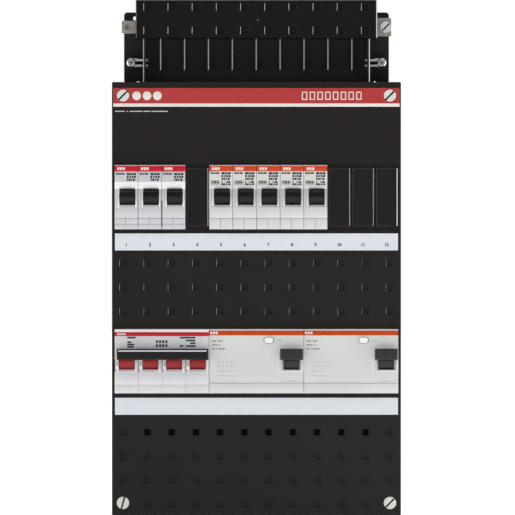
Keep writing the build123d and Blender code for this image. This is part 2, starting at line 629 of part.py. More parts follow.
def make_entry_comb():
    half = COMB_W / 2
    plate_front = COMB_BACK + COMB_T
    comb = block(-half, half, COMB_BACK, plate_front, HALF_H, COMB_TOP)
    for side in (-1, 1):
        edge = side * half
        comb += block(edge - side * 1.8, edge, LUG_T, COMB_DEPTH, HALF_H, COMB_TOP)
    for i in range(RIBS):
        x = RIB_PITCH * (i - (RIBS - 1) / 2)
        comb += block(x - RIB_T / 2, x + RIB_T / 2, plate_front - 0.5, COMB_DEPTH, RIB_FOOT, COMB_TOP)
    for side in (-1, 1):
        edge = side * half
        comb -= block(edge - side * 3, edge + side, plate_front, plate_front + CLIP_T + 0.5,
                      CLIP_Z - 5, CLIP_Z + 5)
    return comb


def make_entry_hood():
    half = HOOD_W / 2
    hood = block(-half, half, HOOD_DEPTH - HOOD_T, HOOD_DEPTH, HOOD_LOW, HOOD_TOP)
    for side in (-1, 1):
        edge = side * half
        hood += block(edge - side * HOOD_T, edge, LUG_T, HOOD_DEPTH, HOOD_LOW, HOOD_TOP)
    cuts = []
    for z in HOOD_KNOCK_Z:
        for i in range(10):
            cuts.append(knockout(KNOCK_PITCH * (i - 4.5), z, HOOD_KNOCK_W, HOOD_DEPTH, 1.2))
    return hood - cuts


def make_clip(side):
    """A round eye under the screw with two prongs that reach into the comb's slot."""
    near = COMB_BACK + COMB_T
    far = near + CLIP_T
    clip = rod_y(CLIP_HEAD_R - 0.2, side * CLIP_X, near, far, CLIP_Z)
    for dz in (-2.2, 1.9):
        clip += block(side * (CLIP_X - 1.5), side * (COMB_W / 2 - 3.5), near, far,
                      CLIP_Z + dz - PRONG_W / 2, CLIP_Z + dz + PRONG_W / 2)
    return clip - rod_y(1.6 + BORE_FIT, side * CLIP_X, near - 1, far + 1, CLIP_Z)


def make_clip_screw(side):
    x = side * CLIP_X
    seat = COMB_BACK + COMB_T + CLIP_T
    head = rod_y(CLIP_HEAD_R, x, seat, seat + 2.2, CLIP_Z)
    head = fillet(head.edges().group_by(Axis.Y)[0], 1.0)
    return head + rod_y(1.6, x, LUG_T + 1, seat + 0.5, CLIP_Z)


def make_bracket(side, height, bore_r):
    inner = side * (HOOD_W / 2)
    outer = side * BRACKET_OUT
    body = block(inner, outer, LUG_T, BRACKET_FACE, BRACKET_Z - height / 2, BRACKET_Z + height / 2)
    body = fillet(body.edges().filter_by(Axis.Y).group_by(Axis.X)[-1 if side > 0 else 0], 1.0)
    return body - rod_y(bore_r, side * BRACKET_HOLE_X, LUG_T + 1, BRACKET_FACE + 1, BRACKET_Z)


def make_earth_screw():
    x = BRACKET_HOLE_X
    face = BRACKET_FACE
    screw = rod_y(4.2, x, face, face + 2.4, BRACKET_Z) + rod_y(1.9, x, LUG_T + 2, face + 0.5, BRACKET_Z)
    slot = Rot(0, -45, 0) * Box(10, 2.4, 1.1)
    return screw - Pos(x, -(face + 2.4), BRACKET_Z) * slot


# ---- write every node ------------------------------------------------------------------------
save("back_box", make_back_box())
save("front_cover", make_front_cover())
save("header_band", make_header_band())
save("upper_label_strip", make_label_strip(UPPER_STRIP_Z))
save("lower_label_strip", make_label_strip(LOWER_STRIP_Z))
for place, sx, sz, slot_angle in screw_places():
    save(f"cover_screw_{place}", make_cover_screw(sx, sz, slot_angle))
for number in BLANKS:
    save(f"blank_{number:02d}", make_blank(number))
save("din_rail_upper", make_rail(UPPER_Z))
save("din_rail_lower", make_rail(LOWER_Z))
save("rail_screws", group(make_rail_screw(x, z) for x, z in rail_screw_places()))

for number in FIRST_WAY + SECOND_WAY:
    save(f"mcb_{number}_housing", make_mcb_housing(number))
    save(f"mcb_{number}_toggle", make_mcb_toggle(number))

main_handle = make_main_handle()
save("main_switch_housing", make_main_housing())
save("main_switch_handle", main_handle)
save("main_switch_tie_bar", make_tie_bar(main_handle))

for number, first_module in ((1, 5), (2, 9)):
    rcd_left = module_left(first_module)
    save(f"rcd_{number}_base", make_rcd_base(rcd_left))
    save(f"rcd_{number}_front", make_rcd_front(rcd_left))
    save(f"rcd_{number}_toggle", make_rcd_toggle(rcd_left))
    save(f"rcd_{number}_test_button", make_test_button(rcd_left))
    save(f"rcd_{number}_toroid", make_toroid(rcd_left))
    save(f"rcd_{number}_relay", make_relay(rcd_left))
    save(f"rcd_{number}_contacts", make_contacts(rcd_left))

save("terminal_screws", make_terminal_screws())
save("comb_busbar", make_comb_busbar())
save("earth_bar", make_earth_bar())
save("entry_frame", make_entry_frame())
save("entry_comb", make_entry_comb())
save("entry_hood", make_entry_hood())
save("entry_clips", group(make_clip(side) for side in (-1, 1)))
save("entry_clip_screws", group(make_clip_screw(side) for side in (-1, 1)))
save("earth_bracket_left", make_bracket(-1, 9.7, 1.9))
save("earth_bracket_right", make_bracket(1, 14.0, 2.0))
save("earth_screw", make_earth_screw())
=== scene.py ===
import math

import bmesh
import bpy
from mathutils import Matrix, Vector


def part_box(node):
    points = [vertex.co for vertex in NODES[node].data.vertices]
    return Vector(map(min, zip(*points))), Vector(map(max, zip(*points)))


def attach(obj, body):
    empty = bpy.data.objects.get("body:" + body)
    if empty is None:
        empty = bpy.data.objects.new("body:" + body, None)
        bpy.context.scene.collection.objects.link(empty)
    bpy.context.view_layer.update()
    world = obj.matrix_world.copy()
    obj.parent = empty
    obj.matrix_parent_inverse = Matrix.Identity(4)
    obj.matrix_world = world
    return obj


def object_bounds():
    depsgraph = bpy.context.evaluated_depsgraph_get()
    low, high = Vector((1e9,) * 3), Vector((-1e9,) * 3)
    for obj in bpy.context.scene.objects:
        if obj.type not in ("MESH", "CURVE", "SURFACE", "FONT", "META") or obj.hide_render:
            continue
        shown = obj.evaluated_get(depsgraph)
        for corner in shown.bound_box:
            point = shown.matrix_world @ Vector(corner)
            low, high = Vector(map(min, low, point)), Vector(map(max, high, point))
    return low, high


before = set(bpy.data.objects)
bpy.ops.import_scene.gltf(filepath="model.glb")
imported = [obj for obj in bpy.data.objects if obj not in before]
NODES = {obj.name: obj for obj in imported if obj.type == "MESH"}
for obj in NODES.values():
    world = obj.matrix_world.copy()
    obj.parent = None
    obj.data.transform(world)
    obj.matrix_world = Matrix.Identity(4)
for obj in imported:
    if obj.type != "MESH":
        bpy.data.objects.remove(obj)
CAD_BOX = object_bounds()

MM = 0.001
MODULE = 18 * MM                      # width of one module on the rail
FIRST_WAY = (1, 2, 3)                 # breakers with a red band
SECOND_WAY = (5, 6, 7, 8, 9)          # breakers with an orange band
NOSE_H = 48.8 * MM                    # height of a device's nose, which stands at mid height of its housing
BURIED = 0.05 * MM                    # how far an added pad reaches into the face it sits on
INK = 0.02 * MM                       # how far print stands proud of its face, and reaches into it


# ---- mesh helpers ---------------------------------------------------------------
def deselect():
    if bpy.context.mode != "OBJECT":
        bpy.ops.object.mode_set(mode="OBJECT")
    bpy.ops.object.select_all(action="DESELECT")


def settle(obj):
    """Moves the object's place into its mesh, so it sits untransformed at the origin."""
    deselect()
    obj.select_set(True)
    bpy.context.view_layer.objects.active = obj
    bpy.ops.object.transform_apply(location=True, rotation=True, scale=True)
    return obj


def finish_piece(obj, name, material, body):
    """Names a new mesh, gives it its material, and says which body carries it."""
    settle(obj)
    obj.name = name
    obj.data.name = name
    obj.data.materials.clear()
    obj.data.materials.append(material)
    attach(obj, body)
    return obj


def block(low, high):
    """A cube primitive stretched between two corners."""
    deselect()
    centre = [(a + b) / 2 for a, b in zip(low, high)]
    bpy.ops.mesh.primitive_cube_add(size=1, location=centre)
    obj = bpy.context.object
    obj.dimensions = [abs(b - a) for a, b in zip(low, high)]
    return settle(obj)


def slab(x0, x1, z0, z1, front, back):
    """A block given by its width, its height and the two depths that it lies between."""
    return block((x0, front, z0), (x1, back, z1))


def bevel(obj, width, segments=2, angle=40):
    mod = obj.modifiers.new("edge", "BEVEL")
    mod.width = width
    mod.segments = segments
    mod.limit_method = "ANGLE"
    mod.angle_limit = math.radians(angle)
    bpy.context.view_layer.objects.active = obj
    bpy.ops.object.modifier_apply(modifier=mod.name)
    return obj


def smooth(obj, angle=35):
    deselect()
    obj.select_set(True)
    bpy.context.view_layer.objects.active = obj
    bpy.ops.object.shade_smooth_by_angle(angle=math.radians(angle))
    return obj


def plate(x0, x1, z0, z1, face, proud, edge=0.12 * MM):
    """A thin pad on a face that looks forward, with softened edges."""
    return smooth(bevel(slab(x0, x1, z0, z1, face - proud, face + BURIED), edge, 2))


def disc(x, z, radius, face, proud, sides=48, edge=0.2 * MM):
    """A round pad on a face that looks forward, with a softened edge."""
    deselect()
    bpy.ops.mesh.primitive_cylinder_add(vertices=sides, radius=radius, depth=proud,
                                        location=(x, face - proud / 2, z), rotation=(math.pi / 2, 0, 0))
    obj = settle(bpy.context.object)
    return smooth(bevel(obj, edge, 2))


def join(parts):
    """Several meshes as one object."""
    deselect()
    for part in parts:
        part.select_set(True)
    bpy.context.view_layer.objects.active = parts[0]
    bpy.ops.object.join()
    return bpy.context.object


def select_faces(obj, chosen):
    """Goes into edit mode with only the chosen faces selected."""
    deselect()
    obj.select_set(True)
    bpy.context.view_layer.objects.active = obj
    bpy.ops.object.mode_set(mode="EDIT")
    bpy.ops.mesh.select_mode(type="FACE")
    bpy.ops.mesh.select_all(action="DESELECT")
    mesh = bmesh.from_edit_mesh(obj.data)
    for found in mesh.faces:
        found.select = chosen(found)
    bmesh.update_edit_mesh(obj.data)


def ramp(x_high, x_low, z0, z1, face, rise):
    """A lip that is tallest at x_high and slopes down to the face at x_low."""
    bar = slab(min(x_high, x_low), max(x_high, x_low), z0, z1, face - rise, face + BURIED)
    outward = 1 if x_low > x_high else -1
    select_faces(bar, lambda f: f.normal.x * outward > 0.9)
    bpy.ops.transform.resize(value=(1, 0.02, 1), center_override=(x_low, face + BURIED, 0))
    bpy.ops.object.mode_set(mode="OBJECT")
    return bar


def ring_frame(x0, x1, z0, z1, rim, face, proud, edge=0.15 * MM):
    """Four bars round an opening."""
    spans = ((x0, x0 + rim, z0, z1), (x1 - rim, x1, z0, z1),
             (x0 + rim, x1 - rim, z1 - rim, z1), (x0 + rim, x1 - rim, z0, z0 + rim))
    bars = [slab(*span, face - proud, face + BURIED) for span in spans]
    return smooth(bevel(join(bars), edge, 2))


# ---- material helpers --------------------------------------------------------------
def colour(code):
    """sRGB hex to the linear value Blender works in."""
    channels = [int(code[i:i + 2], 16) / 255 for i in (1, 3, 5)]
    linear = [c / 12.92 if c <= 0.04045 else ((c + 0.055) / 1.055) ** 2.4 for c in channels]
    return (*linear, 1.0)


def add(tree, kind, links=(), **settings):
    """Adds a node, sets its sockets and properties, and links other nodes into it."""
    node = tree.nodes.new(kind)
    for key, value in settings.items():
        if key in node.inputs:
            node.inputs[key].default_value = value
        elif key.replace("_", " ") in node.inputs:
            node.inputs[key.replace("_", " ")].default_value = value
        else:
            setattr(node, key, value)
    for source, name in links:
        tree.links.new(source, node.inputs[name])
    return node


def surface(name, base, vary, roughness, grain_mm, relief, metallic=0.0, level=0.5,
            stretch=(1, 1, 1), coat=0.0, rough_swing=0.08, cloud_mm=35.0):
    """A moulded, rolled or printed surface: slow colour drift, fine grain in relief and in roughness."""
    mat = bpy.data.materials.new(name)
    mat.use_nodes = True
    tree = mat.node_tree
    tree.nodes.clear()
    place = add(tree, "ShaderNodeTexCoord")
    turned = add(tree, "ShaderNodeMapping", [(place.outputs["Object"], "Vector")], Scale=stretch)
    cloud = add(tree, "ShaderNodeTexNoise", [(place.outputs["Object"], "Vector")],
                Scale=1 / (cloud_mm * MM), Detail=3.0, Roughness=0.55)
    grain = add(tree, "ShaderNodeTexNoise", [(turned.outputs["Vector"], "Vector")],
                Scale=1 / (grain_mm * MM), Detail=4.0, Roughness=0.6)
    tone = add(tree, "ShaderNodeMix", [(cloud.outputs["Fac"], "Factor")], data_type="RGBA")
    for socket in tone.inputs:
        if socket.type == "RGBA":
            socket.default_value = colour(base) if socket.name == "A" else colour(vary)
    swing = add(tree, "ShaderNodeMapRange", [(grain.outputs["Fac"], "Value")], From_Min=0.3, From_Max=0.7,
                To_Min=max(0.03, roughness - rough_swing), To_Max=min(1.0, roughness + rough_swing))
    bump = add(tree, "ShaderNodeBump", [(grain.outputs["Fac"], "Height")], Strength=relief,
               Distance=grain_mm * MM * 0.25)
    shader = add(tree, "ShaderNodeBsdfPrincipled", [(swing.outputs["Result"], "Roughness"),
                                                   (bump.outputs["Normal"], "Normal")], Metallic=metallic)
    shader.inputs["Specular IOR Level"].default_value = level
    shader.inputs["Coat Weight"].default_value = coat
    colour_out = [s for s in tone.outputs if s.type == "RGBA"][0]
    tree.links.new(colour_out, shader.inputs["Base Color"])
    add(tree, "ShaderNodeOutputMaterial", [(shader.outputs["BSDF"], "Surface")])
    return mat


# Moulded ABS, spark-eroded mould: satin black, a soft sheen broken by fine grain.
COVER_ABS = surface("black_abs_cover_satin_moulded", "#191513", "#1d1917", 0.42, 0.7, 0.25, level=0.2)
BOX_ABS = surface("black_abs_box_coarse_moulded", "#110f0d", "#151210", 0.5, 1.0, 0.3, level=0.12)
# the comb's black is lighter than the cover's: painted light that offsets the shade between its ribs
COMB_ABS = surface("black_abs_comb_moulded", "#28211e", "#2c2522", 0.45, 0.9, 0.2, level=0.25)
BLANK_ABS = surface("black_abs_blank_smooth_moulded", "#151211", "#191614", 0.36, 0.6, 0.15, level=0.2)
# Where the mould was polished the same plastic shines under the lamps: lips and worn-smooth edges. Its black
# is lighter than the cover's, a painted highlight.
EDGE_ABS = surface("black_abs_polished_edge", "#2a2726", "#322f2e", 0.18, 0.6, 0.1,
                   level=0.6, coat=0.5, rough_swing=0.03)
# Powder-coated black sheet steel: the light orange-peel grain of the lug plate.
LUG_PLATE = surface("black_powder_coated_steel", "#13110e", "#1c1917", 0.4, 1.4, 0.5, level=0.3)
# Thermoset housings, polished mould: light grey with a dull gloss.
DEVICE_GREY = surface("light_grey_thermoset_moulded", "#d7d7d5", "#d1d1cf", 0.38, 0.8, 0.05)
DEVICE_COOL = surface("cool_grey_thermoset_moulded", "#dbdadd", "#d4d3d7", 0.36, 0.8, 0.05)
# a darker, matter copy of the cool grey for the first three breakers: its darker tone is painted shade
BREAKER_COOL_SHADED = surface("cool_grey_thermoset_matt_painted_shade", "#d0cfd3", "#c9c8cd", 0.42, 0.8, 0.05)
BAND_WHITE = surface("white_polished_thermoset", "#fdfdfe", "#f8f8f9", 0.25, 0.8, 0.05, coat=0.3)
RIM_GREY = surface("pale_grey_polished_thermoset", "#e6e6e5", "#dededd", 0.25, 0.8, 0.05)
# Printed films and labels: flat colour with faint ink mottling.
HEADER_FILM = surface("red_printed_film_gloss", "#ab2a29", "#af2e2d", 0.33, 2.0, 0.01, coat=0.25, cloud_mm=80,
                      rough_swing=0.02)
WHITE_FILM = surface("white_printed_film", "#e2ddd7", "#dcd7d1", 0.4, 1.0, 0.04)
RED_INK = surface("red_pad_print", "#c01224", "#b71423", 0.35, 0.8, 0.08, level=0.25)
ORANGE_INK = surface("orange_pad_print_bright", "#cb451c", "#c44018", 0.35, 0.8, 0.08, level=0.25)
ORANGE_DEEP = surface("orange_pad_print_deep", "#c04208", "#b93c06", 0.35, 0.8, 0.08, level=0.2)
DARK_INK = surface("dark_grey_laser_print", "#1d1d20", "#2c2c30", 0.6, 0.5, 0.1, cloud_mm=1.2)
MID_INK = surface("mid_grey_laser_print", "#737375", "#8a8a8b", 0.6, 0.5, 0.1, cloud_mm=1.5)
SOFT_INK = surface("soft_grey_laser_print", "#868688", "#969697", 0.6, 0.5, 0.1, cloud_mm=1.5)
PALE_INK = surface("pale_grey_laser_print", "#b0b0af", "#bdbdbc", 0.6, 0.5, 0.1, cloud_mm=1.5)
PRINT_PAPER = surface("light_grey_label_film", "#d9dad5", "#d2d3ce", 0.45, 0.8, 0.06)
LABEL_GREY = surface("grey_label_film", "#c6c7ca", "#bebfc3", 0.45, 0.8, 0.06)
CARD = surface("bluish_label_card", "#d2d8df", "#dbdfe5", 0.5, 0.5, 0.08, cloud_mm=50)
# Moulded nylon: levers and screws, a little waxy.
LEVER_BLACK = surface("black_nylon_moulded", "#0e0e10", "#131314", 0.36, 0.5, 0.12, level=0.25)
LEVER_RED = surface("dark_red_nylon_moulded", "#84181a", "#961f21", 0.35, 0.5, 0.15, level=0.3)
LEVER_GREY = surface("charcoal_nylon_moulded", "#282827", "#2f2f2d", 0.38, 0.6, 0.12, level=0.25)
BUTTON_WHITE = surface("white_nylon_moulded", "#f5f4ef", "#ecebe5", 0.28, 0.6, 0.06)
SCREW_NYLON = surface("off_white_nylon_moulded", "#d9d8d2", "#cfcdc6", 0.4, 0.7, 0.1)
# Metal, plated or bare: rolled, sawn, drawn or turned, mostly with streaks along one direction.
ROLLED = (0.05, 1, 1)                 # streaks along the length of a rolled or drawn bar
ZINC = surface("zinc_plated_rolled_steel", "#c4c2bd", "#aeaca6", 0.32, 0.9, 0.15, metallic=1.0,
               stretch=ROLLED)
NICKEL = surface("nickel_plated_sawn_steel", "#c9c1b8", "#9c948b", 0.36, 0.7, 0.35, metallic=1.0,
                 stretch=(1, 1, 0.15), cloud_mm=2.0)
CHROME = surface("bright_zinc_turned_screw", "#e3e2df", "#cfcdca", 0.18, 0.6, 0.05, metallic=1.0)
COPPER = surface("bare_copper_drawn", "#b86a4a", "#a55b3e", 0.35, 0.8, 0.1, metallic=1.0, stretch=ROLLED)
BRASS = surface("brass_drawn_bar", "#b89a55", "#a68746", 0.33, 0.8, 0.1, metallic=1.0, stretch=ROLLED)
# Inside the residual current devices: varnished core, relay case and contact carrier.
CORE = surface("varnished_core_tape", "#3c4a36", "#2f3d2c", 0.35, 1.5, 0.5, cloud_mm=3)
RELAY_CASE = surface("grey_relay_case_moulded", "#3a3a3d", "#444448", 0.4, 0.7, 0.15)
CARRIER = surface("grey_contact_carrier_moulded", "#8c8c8a", "#7f7f7c", 0.5, 0.8, 0.2)
# Painted shade: a near-black laid into slots, crosses and pockets where there is only shade. Below it, two
# edge colours made pale: a painted reflection and a painted highlight.
PAINTED_SHADE_DARK = surface("shadowed_slot", "#060606", "#0a0909", 0.8, 0.8, 0.2, level=0.05)
# painted reflection: a pale grey that stands for the neighbouring breaker's bright side seen in a glossy lip
PAINTED_REFLECTION_EDGE = surface("painted_reflection_grey_edge", "#c4c2bf", "#b4b2af", 0.5, 0.8, 0.2)
# painted highlight: a lighter black for the faint light lines along a blank's raised field
PAINTED_HIGHLIGHT_EDGE = surface("painted_highlight_black_abs_edge", "#454240", "#3a3836", 0.45, 0.8, 0.2)
# Tinned spring sheet: paler and duller than the turned screws.
TIN = surface("bright_tinned_spring_steel", "#f2f0ec", "#dfddd9", 0.45, 0.6, 0.05, metallic=0.6)


def paint(material, *names):
    """Gives each named CAD node one material."""
    for name in names:
        mesh = NODES[name].data
        mesh.materials.clear()
        mesh.materials.append(material)


paint(BOX_ABS, "back_box", "entry_hood")
paint(COMB_ABS, "entry_comb")
paint(LUG_PLATE, "entry_frame")
paint(COVER_ABS, "front_cover")
paint(HEADER_FILM, "header_band")
paint(CARD, "upper_label_strip", "lower_label_strip")
paint(SCREW_NYLON, *[n for n in NODES if n.startswith("cover_screw")])
paint(BLANK_ABS, *[n for n in NODES if n.startswith("blank")])
paint(ZINC, "din_rail_upper", "din_rail_lower", "rail_screws", "terminal_screws")
paint(CHROME, "entry_clip_screws")
paint(TIN, "entry_clips", "earth_screw")
paint(NICKEL, "earth_bracket_left", "earth_bracket_right")
paint(COPPER, "comb_busbar")
paint(BRASS, "earth_bar")
paint(DEVICE_COOL, "main_switch_housing")
paint(BREAKER_COOL_SHADED, *[f"mcb_{n}_housing" for n in FIRST_WAY])
paint(DEVICE_GREY, *[f"mcb_{n}_housing" for n in SECOND_WAY])
paint(DEVICE_GREY, "rcd_1_base", "rcd_1_front", "rcd_2_base", "rcd_2_front")
paint(LEVER_BLACK, "main_switch_tie_bar", *[f"mcb_{n}_toggle" for n in FIRST_WAY + SECOND_WAY])
paint(LEVER_RED, "main_switch_handle")
paint(LEVER_GREY, "rcd_1_toggle", "rcd_2_toggle")
paint(BUTTON_WHITE, "rcd_1_test_button", "rcd_2_test_button")
paint(CORE, "rcd_1_toroid", "rcd_2_toroid")
paint(RELAY_CASE, "rcd_1_relay", "rcd_2_relay")
paint(CARRIER, "rcd_1_contacts", "rcd_2_contacts")


# ---- printed bars that stand for lettering ---------------------------------------------------
def print_rows(x, top, rows, height, pitch, face):
    """Short bars, row below row. Each row is a list of pairs: a bar's length and the gap after it, in mm."""
    bars = []
    for number, spans in enumerate(rows):
        z = top - number * pitch
        at = x
        for span, gap in spans:
            bars.append(slab(at, at + span * MM, z - height, z, face - INK, face + INK))
            at += (span + gap) * MM
    return join(bars)


def band_mark(tag, x, top, bar, gap, height, face):
    """Three bars in a coloured band, where a mark would be."""
    mark = print_rows(x, top, [[(bar, gap), (bar, gap), (bar, 0)]], height, height, face)
    nose_piece(mark, f"{tag}_band_mark", WHITE_FILM)


def nose_piece(obj, name, material):
    """A fixed piece on the pale nose of a device."""
    return finish_piece(obj, name, material, "board")


def nose(node):
    """The left, right, bottom and top of a device's nose."""
    low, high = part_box(node)
    middle = (low.z + high.z) / 2
    return low.x, high.x, middle - NOSE_H / 2, middle + NOSE_H / 2


# ---- header ----------------------------------------------------------------------------
header_low, header_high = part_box("header_band")
cover_low, cover_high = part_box("front_cover")
HEADER_FACE = header_low.y
COVER_FACE = cover_low.y
FILM = 0.15 * MM                      # how far the film's pale shapes stand proud
WHITE_LINE_H = 2.5 * MM
MARK_DOWN = 5.9 * MM                  # middle of both marks below the band's upper edge
DOT_IN = 17.8 * MM                    # first dot from the band's left edge
DOT_PITCH = 7.9 * MM
DOT_R = 3.3 * MM
FRAME_IN = 143.6 * MM                 # first open frame from the band's left edge
FRAME_PITCH = 5.9 * MM
FRAME_W = 4.1 * MM
FRAME_H = 6.2 * MM
FRAME_RIM = 0.75 * MM
SMALL_PRINT_ROW = [(7.4, 1.4), (1.0, 1.4), (9.6, 0.9), (5.2, 0.9), (12.4, 0)]


def header_line():
    line = plate(header_low.x, header_high.x, header_low.z, header_low.z + WHITE_LINE_H, HEADER_FACE, FILM)
    finish_piece(line, "header_white_line", WHITE_FILM, "board")


def header_marks():
    """Plain pale shapes where a nameplate would be: three dots at the left, eight open frames at right."""
    middle = header_high.z - MARK_DOWN
    dots = [disc(header_low.x + DOT_IN + i * DOT_PITCH, middle, DOT_R, HEADER_FACE, FILM, edge=0.03 * MM)
            for i in range(3)]
    finish_piece(join(dots), "header_mark_left", WHITE_FILM, "board")
    frames = []
    for i in range(8):
        x = header_low.x + FRAME_IN + i * FRAME_PITCH
        frames.append(ring_frame(x, x + FRAME_W, middle - FRAME_H / 2, middle + FRAME_H / 2, FRAME_RIM,
                                 HEADER_FACE, FILM, 0.05 * MM))
    finish_piece(join(frames), "header_mark_right", WHITE_FILM, "board")
    small = print_rows(cover_low.x + 2.3 * MM, header_low.z - 3.2 * MM, [SMALL_PRINT_ROW],
                       0.7 * MM, 2 * MM, COVER_FACE)
    finish_piece(small, "cover_small_print", LABEL_GREY, "board")


header_line()
header_marks()


# ---- breakers --------------------------------------------------------------------------------
NOSE_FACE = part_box("mcb_1_housing")[0].y
PAD = 0.25 * MM                       # how far the pads of the lower face stand proud
PAD_EDGE = 0.1 * MM
PAD_RISE = 0.3 * MM                   # lowest pad above the nose's lower edge
BAND = 0.18 * MM                      # how far a coloured band stands proud
BAND_EDGE = 0.05 * MM
LABEL = 0.12 * MM                     # the same of the label below it
RECESS = 0.95 * MM                    # depth of the shallow recess round a lever
OPEN_X, OPEN_Z = 6.1 * MM, 5.95 * MM  # half the opening that the lever's hub sweeps
FRAME_X, FRAME_Z = 7.0 * MM, 7.8 * MM # half the outside of the frame round it
JOINT_UP = 8.2 * MM                   # horizontal joint above the nose's lower edge
JOINT = 0.28 * MM                     # width of a joint between two pads
LINE = 0.22 * MM                      # width of a shadow line

# What differs between the two makes of breaker.
RED_BREAKER = {"ink": RED_INK, "label": LABEL_GREY, "frame": BAND_WHITE, "face": BREAKER_COOL_SHADED,
               "band_down": 4.9 * MM, "label_down": 12.6 * MM, "print_drop": 0.6 * MM, "split": 8.2 * MM}
ORANGE_BREAKER = {"ink": ORANGE_INK, "label": PRINT_PAPER, "frame": RIM_GREY, "face": DEVICE_GREY,
                  "band_down": 4.7 * MM, "label_down": 15.2 * MM, "print_drop": 0.0, "split": 8.6 * MM}

TYPE_ROWS = [[(2.0, 0.3), (1.5, 0.3), (2.4, 0)]]
RATING_ROWS = [[(2.6, 0.35), (1.6, 0.35), (2.2, 0)],
               [(1.5, 0.6), (1.1, 0.5), (1.4, 0.35), (1.6, 0)],
               [(1.0, 0.3), (1.6, 0.4), (0.9, 0.5), (1.7, 0)]]
SYMBOL_ROWS = [[(0.9, 2.0), (0.7, 0.6), (2.6, 0)], [(2.9, 0.6), (1.2, 0.6), (1.6, 0)]]
BOXED_ROWS = [[(1.2, 0.4), (1.7, 0.4), (1.4, 0)]]


def breaker_print(tag, left, right, top, red, make):
    """The coloured band, the label and the bars printed on it. Gives back the label's lower edge."""
    band = plate(left, right, top - make["band_down"], top - 0.7 * MM, NOSE_FACE, BAND, BAND_EDGE)
    nose_piece(band, f"{tag}_band", make["ink"])
    band_mark(tag, left + 2 * MM, top - 1.7 * MM, 1.7, 0.4, 2.1 * MM, NOSE_FACE - BAND)
    label_low = top - make["label_down"]
    label = plate(left + 0.1 * MM, right - 0.1 * MM, label_low, top - 5.0 * MM, NOSE_FACE, LABEL, 0.04 * MM)
    nose_piece(label, f"{tag}_label", make["label"])
    face = NOSE_FACE - LABEL
    drop = make["print_drop"]
    prints = [print_rows(left + 1.0 * MM, top - 5.5 * MM - drop, TYPE_ROWS, 1.25 * MM, 2 * MM, face),
              print_rows(left + 9.2 * MM, top - 5.4 * MM - drop, RATING_ROWS, 1.7 * MM, 2.15 * MM, face)]
    if not red:
        prints += [print_rows(left + 9.2 * MM, top - 12.2 * MM, SYMBOL_ROWS, 1.35 * MM, 1.7 * MM, face),
                   print_rows(left + 1.9 * MM, label_low + 2.9 * MM, BOXED_ROWS, 1.7 * MM, 2 * MM, face)]
    nose_piece(join(prints), f"{tag}_print", DARK_INK)
    if not red:
        box = ring_frame(left + 1.2 * MM, left + 7.8 * MM, label_low + 0.5 * MM, label_low + 3.5 * MM,
                         0.4 * MM, face, 0.04 * MM, 0.01 * MM)
        nose_piece(box, f"{tag}_print_box", MID_INK)
    return label_low


def breaker_lever_frame(tag, left, right, lever_x, pivot_z, top, material):
    """A frame that stands in the shallow recess round the lever, clear of the hub's sweep."""
    back = NOSE_FACE + RECESS
    upper = pivot_z + OPEN_Z
    bars = [slab(left, right, upper, top, NOSE_FACE - 0.3 * MM, back)]
    for x0, x1 in ((lever_x - FRAME_X, lever_x - OPEN_X), (lever_x + OPEN_X, lever_x + FRAME_X)):
        bars.append(slab(x0, x1, pivot_z - FRAME_Z, upper, NOSE_FACE - 0.1 * MM, back))
    nose_piece(smooth(bevel(join(bars), 0.1 * MM, 2)), f"{tag}_lever_frame", material)


def breaker_joint_lines(tag, left, right, bottom, pivot_z, frame_top, red):
    """Thin shadow lines: the joints of the lower face and the edge of the shallow recess."""
    joint = bottom + JOINT_UP
    middle = left + 8.4 * MM
    front = NOSE_FACE - PAD - INK
    tick_top = joint + (2.0 * MM if red else 0)
    lines = [slab(left, right, joint - LINE, joint + LINE, front, NOSE_FACE),
             slab(middle - LINE / 2, middle + LINE / 2, bottom + 0.5 * MM, tick_top, front, NOSE_FACE)]
    if red:
        second = joint - 4.4 * MM
        lines.append(slab(left, right, second, second + LINE, front, NOSE_FACE))
    else:
        low = pivot_z - 7.9 * MM
        x0, x1 = left + 1.3 * MM, right - 0.3 * MM
        side_front = NOSE_FACE - 0.12 * MM
        lines += [slab(x0, x1, low, low + LINE, front, NOSE_FACE),
                  slab(x0, x0 + LINE, low, frame_top, side_front, NOSE_FACE),
                  slab(x1 - 0.2 * MM, x1, low, frame_top, side_front, NOSE_FACE)]
    nose_piece(join(lines), f"{tag}_joint_lines", SOFT_INK)


def breaker_lower_face(tag, left, right, bottom, pivot_z, red, make):
    """The lower face is three or four pads with fine joints between them."""
    joint = bottom + JOINT_UP
    split = left + make["split"]
    lowest = bottom + PAD_RISE
    half = JOINT / 2
    spans = [(left, right, joint + half, pivot_z - 9.4 * MM)]
    if red:
        third = JOINT / 3
        second = bottom + 3.6 * MM
        spans += [(left, split - third, second + third, joint - half),
                  (split + third, right, second + third, joint - half),
                  (left, right, lowest, second - third)]
    else:
        spans += [(left, split - half, lowest, joint - half), (split + half, right, lowest, joint - half)]
    pads = [plate(*span, NOSE_FACE, PAD, PAD_EDGE) for span in spans]
    nose_piece(join(pads), f"{tag}_lower_face", make["face"])


def breaker_details(number, red):
    tag = f"mcb_{number}"
    make = RED_BREAKER if red else ORANGE_BREAKER
    left, right, bottom, top = nose(f"{tag}_housing")
    low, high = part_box(f"{tag}_toggle")
    lever_x = (low.x + high.x) / 2
    pivot_z = (low.z + high.z) / 2
    label_low = breaker_print(tag, left, right, top, red, make)
    frame_top = label_low - 0.15 * MM
    breaker_lever_frame(tag, left, right, lever_x, pivot_z, frame_top, make["frame"])
    breaker_joint_lines(tag, left, right, bottom, pivot_z, frame_top, red)
    # painted shade: a dark bar across the hub where the blade's underside is in shadow
    blade_shadow = slab(lever_x - 3.8 * MM, lever_x + 3.4 * MM, pivot_z + 2.75 * MM, pivot_z + 3.3 * MM,
                  low.y + 1.5 * MM, low.y + 3.5 * MM)
    finish_piece(blade_shadow, f"{tag}_lever_blade_shadow", PAINTED_SHADE_DARK, f"{tag}_lever")
    breaker_lower_face(tag, left, right, bottom, pivot_z, red, make)


